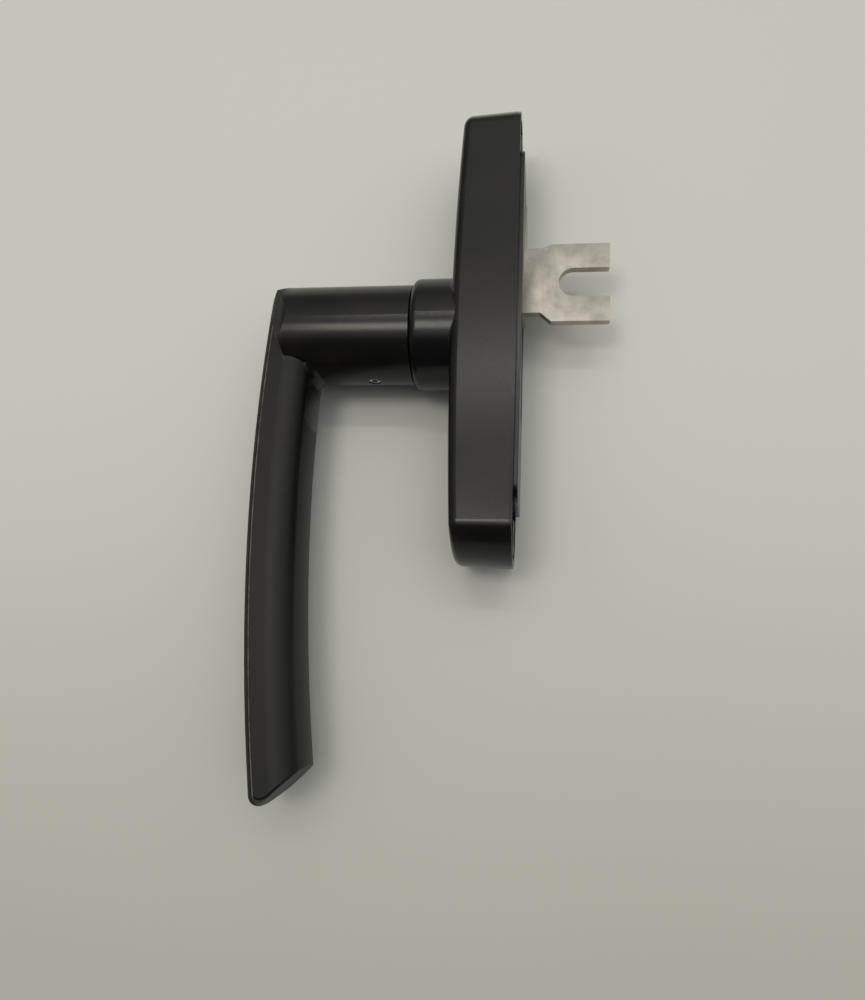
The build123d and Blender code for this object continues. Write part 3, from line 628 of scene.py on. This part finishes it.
# %% Rivets
rivet_low, rivet_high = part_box("fork_rivets")
RIVET_HEAD = 3.0 * MM
RIVET_SHANK = 1.9 * MM
RIVET_CONE = 1.0 * MM
RIVET_SIDES = 40
DISH_RINGS = 24
DISH_RADIUS = 3.0 * RIVET_HEAD
DISH_DEPTH = 0.09 * MM
rivet_sizes = {
    "Head radius": RIVET_HEAD,
    "Shank radius": RIVET_SHANK,
    "Cone depth": RIVET_CONE,
    "Length": rivet_high.y - rivet_low.y,
    "Spacing": rivet_high.z - rivet_low.z - 2 * RIVET_HEAD,
    "Middle X": (rivet_low.x + rivet_high.x) / 2,
    "Middle Y": (rivet_low.y + rivet_high.y) / 2,
    "Middle Z": (rivet_low.z + rivet_high.z) / 2,
}
rivets = Shape("strip_rivets", rivet_sizes)
shank_cut = rivets.sum("MULTIPLY", rivets.size("Cone depth"), 2.0)
shank = rivets.node("GeometryNodeMeshCylinder", None, {
    "Vertices": RIVET_SIDES, "Radius": rivets.size("Shank radius"),
    "Depth": rivets.sum("SUBTRACT", rivets.size("Length"), shank_cut),
})
rivet_parts = [shank]
half_length = rivets.sum("MULTIPLY", rivets.size("Length"), 0.5)
for flip in (0.0, 180.0):
    cone = rivets.node("GeometryNodeMeshCone", None, {
        "Vertices": RIVET_SIDES, "Radius Top": rivets.size("Head radius"),
        "Radius Bottom": rivets.size("Shank radius"), "Depth": rivets.size("Cone depth"),
    })
    cone_foot = rivets.sum("SUBTRACT", half_length, rivets.size("Cone depth"))
    cone = rivets.moved(cone, rivets.vector(0.0, 0.0, cone_foot))
    dish = rivets.node("GeometryNodeMeshUVSphere", None, {
        "Segments": RIVET_SIDES, "Rings": DISH_RINGS, "Radius": DISH_RADIUS,
    })
    dish_lift = rivets.sum("ADD", half_length, DISH_RADIUS - DISH_DEPTH)
    dish = rivets.moved(dish, rivets.vector(0.0, 0.0, dish_lift))
    rivet_parts.append(rivets.turned(rivets.cut(cone, dish), (math.radians(flip), 0.0, 0.0)))
rivet = rivets.turned(rivets.join(*rivet_parts), FACE_TO_SASH)
half_spacing = rivets.sum("MULTIPLY", rivets.size("Spacing"), 0.5)
row_foot = rivets.sum("SUBTRACT", rivets.size("Middle Z"), half_spacing)
row_top = rivets.sum("ADD", rivets.size("Middle Z"), half_spacing)
row = rivets.node("GeometryNodeMeshLine", {"mode": "END_POINTS"}, {
    "Count": 2,
    "Start Location": rivets.vector(rivets.size("Middle X"), rivets.size("Middle Y"), row_foot),
    "Offset": rivets.vector(rivets.size("Middle X"), rivets.size("Middle Y"), row_top),
})
holder = rivets.grown(rivets.at_points(row, rivet), fork_steel)
settle(holder, "strip_rivets", fork_steel, "fork", "fork_rivets")

# %% [markdown]
# Behind each detent ball sits a little compression spring. A spiral curve swept with a round wire is the
# spring itself, and two points carry the pair.

# %% Detent springs
spring_low, spring_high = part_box("detent_springs")
WIRE_RADIUS = 0.25 * MM
SPRING_TURNS = 3.0
SPRING_STEPS = 24
WIRE_SIDES = 12
spring_outer = (spring_high.z - spring_low.z) / 2
spring_sizes = {
    "Wire radius": WIRE_RADIUS,
    "Coil radius": spring_outer - WIRE_RADIUS,
    "Height": spring_high.y - spring_low.y - 2 * WIRE_RADIUS,
    "Half spacing": (spring_high.x - spring_low.x) / 2 - spring_outer,
    "Foot": spring_low.y + WIRE_RADIUS,
}
springs = Shape("coil_springs", spring_sizes)
coil = springs.node("GeometryNodeCurveSpiral", None, {
    "Resolution": SPRING_STEPS, "Rotations": SPRING_TURNS, "Start Radius": springs.size("Coil radius"),
    "End Radius": springs.size("Coil radius"), "Height": springs.size("Height"),
})
wire = springs.node("GeometryNodeCurvePrimitiveCircle", None, {
    "Resolution": WIRE_SIDES, "Radius": springs.size("Wire radius"),
})
coil = springs.turned(springs.swept(coil, wire), FACE_TO_SASH)
left = springs.sum("MULTIPLY", springs.size("Half spacing"), -1.0)
pair = springs.node("GeometryNodeMeshLine", {"mode": "END_POINTS"}, {
    "Count": 2,
    "Start Location": springs.vector(left, springs.size("Foot"), 0.0),
    "Offset": springs.vector(springs.size("Half spacing"), springs.size("Foot"), 0.0),
})
holder = springs.grown(springs.at_points(pair, coil), spring_steel)
settle(holder, "coil_springs", spring_steel, "base", "detent_springs")

# %% [markdown]
# The handle lies on pale paper. In the handle's own axes that sheet stands upright behind it, so it is a
# large plane just past its far side. It is painted a little greyer towards its foot: painted shade of the
# room's light falling off towards that side, where someone stands. Seen from behind, the plane lets the
# view through, so that the handle can be looked at from every side.

# %% Paper
PAPER_GAP = 0.5 * MM
PAPER_HALF = 1.5
PAPER_LIGHT = 0.02
PAPER_SHADED = -0.26
PAPER_CLOUD = 6.0
PAPER_CLOUDING = 0.1
PAPER_PALE = colour(0.81, 0.82, 0.78)
PAPER_SHADE_GREY = colour(0.53, 0.54, 0.49)
paper = Finish("paper")
paper_place = paper.place()
paper_cloud = paper.noise(paper_place, PAPER_CLOUD, detail=3.0)
paper_height = paper.axes(paper_place)[2]
# Painted shade: the paper turns greyer towards its foot, with a faint random cloud.
shade = paper_height.ramp(PAPER_LIGHT, PAPER_SHADED) * (1.0 - PAPER_CLOUDING) + paper_cloud * PAPER_CLOUDING
paper_tint = paper.blend(shade, PAPER_PALE, PAPER_SHADE_GREY)
paper_sheet = paper.node("ShaderNodeBsdfDiffuse", None, {"Color": paper_tint})
see_through = paper.node("ShaderNodeBsdfTransparent")
from_behind = paper.node("ShaderNodeNewGeometry", output="Backfacing")
one_sided = paper.node("ShaderNodeMixShader", None, {0: from_behind, 1: paper_sheet, 2: see_through})
paper.node("ShaderNodeOutputMaterial", None, {"Surface": one_sided})

paper_x = cad_low.x - PAPER_GAP
sheet_corners = [(-1, -1), (1, -1), (1, 1), (-1, 1)]
sheet = bpy.data.meshes.new("paper")
sheet.from_pydata([(paper_x, y * PAPER_HALF, z * PAPER_HALF) for y, z in sheet_corners], [], [(0, 1, 2, 3)])
sheet.materials.append(paper.material)
backdrop = bpy.data.objects.new("paper", sheet)
scene.collection.objects.link(backdrop)
print("paper faces", tuple(sheet.polygons[0].normal))

# %% [markdown]
# Two warm lamps hang under a pale ceiling: a thin tube towards the top of the paper, and a broader one out
# towards the grip. The world is that ceiling, fading to the walls, dimmer towards the grip and dark on the
# near side, where someone stands, because a satin black shows mostly what it reflects.

# %% Light
LAMP_TINT = (1.0, 0.93, 0.82)
ROOM_DARK = colour(0.03, 0.03, 0.03)
ROOM_PALE = colour(1.08, 1.08, 1.05)
WALL_SHARE = 0.25
GRIP_SIDE_DIMMING = 0.45


def soft_lamp(name, place, target, width, height, power):
    """Rectangle of light aimed at a point."""
    lamp_data = bpy.data.lights.new(name, "AREA")
    lamp_data.shape = "RECTANGLE"
    lamp_data.size = width
    lamp_data.size_y = height
    lamp_data.energy = power
    lamp_data.color = LAMP_TINT
    lamp = bpy.data.objects.new(name, lamp_data)
    lamp.location = place
    lamp.rotation_mode = "QUATERNION"
    aim = Vector(target) - Vector(place)
    lamp.rotation_quaternion = aim.to_track_quat("-Z", "Y")
    scene.collection.objects.link(lamp)
    print("lamp:", name, power, "W")


soft_lamp(
    "far_tube", place=(0.91, 0.02, 0.345), target=(0.0, -0.01, 0.0), width=0.64, height=0.05, power=0.8
)
soft_lamp(
    "near_panel", place=(0.99, -0.22, -0.03), target=(0.0, -0.03, 0.0), width=0.28, height=0.22, power=1.5
)

scene.world = bpy.data.worlds.new("room")
scene.world.use_nodes = True
room = Finish("room", scene.world.node_tree)
look = room.node("ShaderNodeTexCoord", output="Generated")
look_x, look_y, look_z = room.axes(look)
bright_side = look_z.ramp(-0.55, -0.2)
overhead = look_x.ramp(0.3, 1.0)
dim_side = look_y.ramp(-0.12, -0.42)
open_room = bright_side * (WALL_SHARE + (1.0 - WALL_SHARE) * overhead) * (1.0 - GRIP_SIDE_DIMMING * dim_side)
room_tint = room.blend(open_room, ROOM_DARK, ROOM_PALE)
room_light = room.node("ShaderNodeBackground", None, {"Color": room_tint, "Strength": 1.0})
room.node("ShaderNodeOutputWorld", None, {"Surface": room_light})

scene.view_settings.view_transform = "Standard"
print("room lit")
